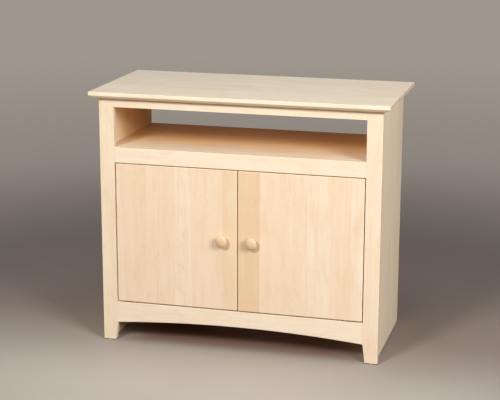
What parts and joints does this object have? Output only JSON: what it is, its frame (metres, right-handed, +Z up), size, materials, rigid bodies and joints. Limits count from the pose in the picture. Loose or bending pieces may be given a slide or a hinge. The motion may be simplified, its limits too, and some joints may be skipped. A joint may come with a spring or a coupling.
{
  "type": "television cabinet",
  "caption": "Free-standing maple television cabinet: open component bay over a cupboard with inset slab doors on pivot hinges, turned knobs and an arched lower rail.",
  "frame": {"origin": "on the floor, under the middle of the top board's outline", "axes": "+Z up, -Y out of the front, +X to the right as the front is seen"},
  "size_m": [0.9652, 0.4698, 0.8318],
  "materials": {
    "maple": "clear satin, edge-glued pale maple staves",
    "back_ply": "clear satin plywood",
    "hinge_brass": "satin brass",
    "washer_bronze": "plain bronze",
    "screw_steel": "zinc-plated steel",
    "glide_nylon": "off-white nylon",
    "catch_plastic": "tan moulded plastic"
  },
  "bodies": {
    "cabinet": {"top_board": "maple", "top_rail": "maple", "middle_rail": "maple", "bottom_rail": "maple", "stile_left": "maple", "stile_right": "maple", "side_panel_left": "maple", "side_panel_right": "maple", "bay_shelf": "maple", "cabinet_floor": "maple", "front_stretcher": "maple", "rear_stretcher": "maple", "adjustable_shelf": "maple", "door_stop": "maple", "back_panel": "back_ply", "frame_leaf_upper_left": "hinge_brass", "frame_leaf_lower_left": "hinge_brass", "frame_leaf_upper_right": "hinge_brass", "frame_leaf_lower_right": "hinge_brass", "washer_upper_left": "washer_bronze", "washer_lower_left": "washer_bronze", "washer_upper_right": "washer_bronze", "washer_lower_right": "washer_bronze", "glide_front_left": "glide_nylon", "glide_rear_left": "glide_nylon", "glide_front_right": "glide_nylon", "glide_rear_right": "glide_nylon", "shelf_pin_front_left": "screw_steel", "shelf_pin_rear_left": "screw_steel", "shelf_pin_front_right": "screw_steel", "shelf_pin_rear_right": "screw_steel", "top_screw_front_left": "screw_steel", "top_screw_front_middle": "screw_steel", "top_screw_front_right": "screw_steel", "top_screw_rear_left": "screw_steel", "top_screw_rear_middle": "screw_steel", "top_screw_rear_right": "screw_steel", "catch_left": "catch_plastic", "catch_right": "catch_plastic", "catch_screw_left_inner": "screw_steel", "catch_screw_left_outer": "screw_steel", "catch_screw_right_inner": "screw_steel", "catch_screw_right_outer": "screw_steel", "magnet_left": "screw_steel", "magnet_right": "screw_steel"},
    "door_left": {"door_left": "maple", "knob_left": "maple", "door_leaf_upper_left": "hinge_brass", "door_leaf_lower_left": "hinge_brass", "knob_screw_left": "screw_steel", "strike_left": "screw_steel", "strike_screw_left": "screw_steel"},
    "door_right": {"door_right": "maple", "knob_right": "maple", "door_leaf_upper_right": "hinge_brass", "door_leaf_lower_right": "hinge_brass", "knob_screw_right": "screw_steel", "strike_right": "screw_steel", "strike_screw_right": "screw_steel"}
  },
  "joints": [
    {"name": "left_door_hinge", "type": "hinge", "parent": "cabinet", "child": "door_left", "pos_m": [-0.3948, -0.20045, 0.3689], "axis": [0, 0, 1], "range_deg": [-110, 0]},
    {"name": "right_door_hinge", "type": "hinge", "parent": "cabinet", "child": "door_right", "pos_m": [0.3948, -0.20045, 0.3689], "axis": [0, 0, 1], "range_deg": [0, 110]}
  ]
}
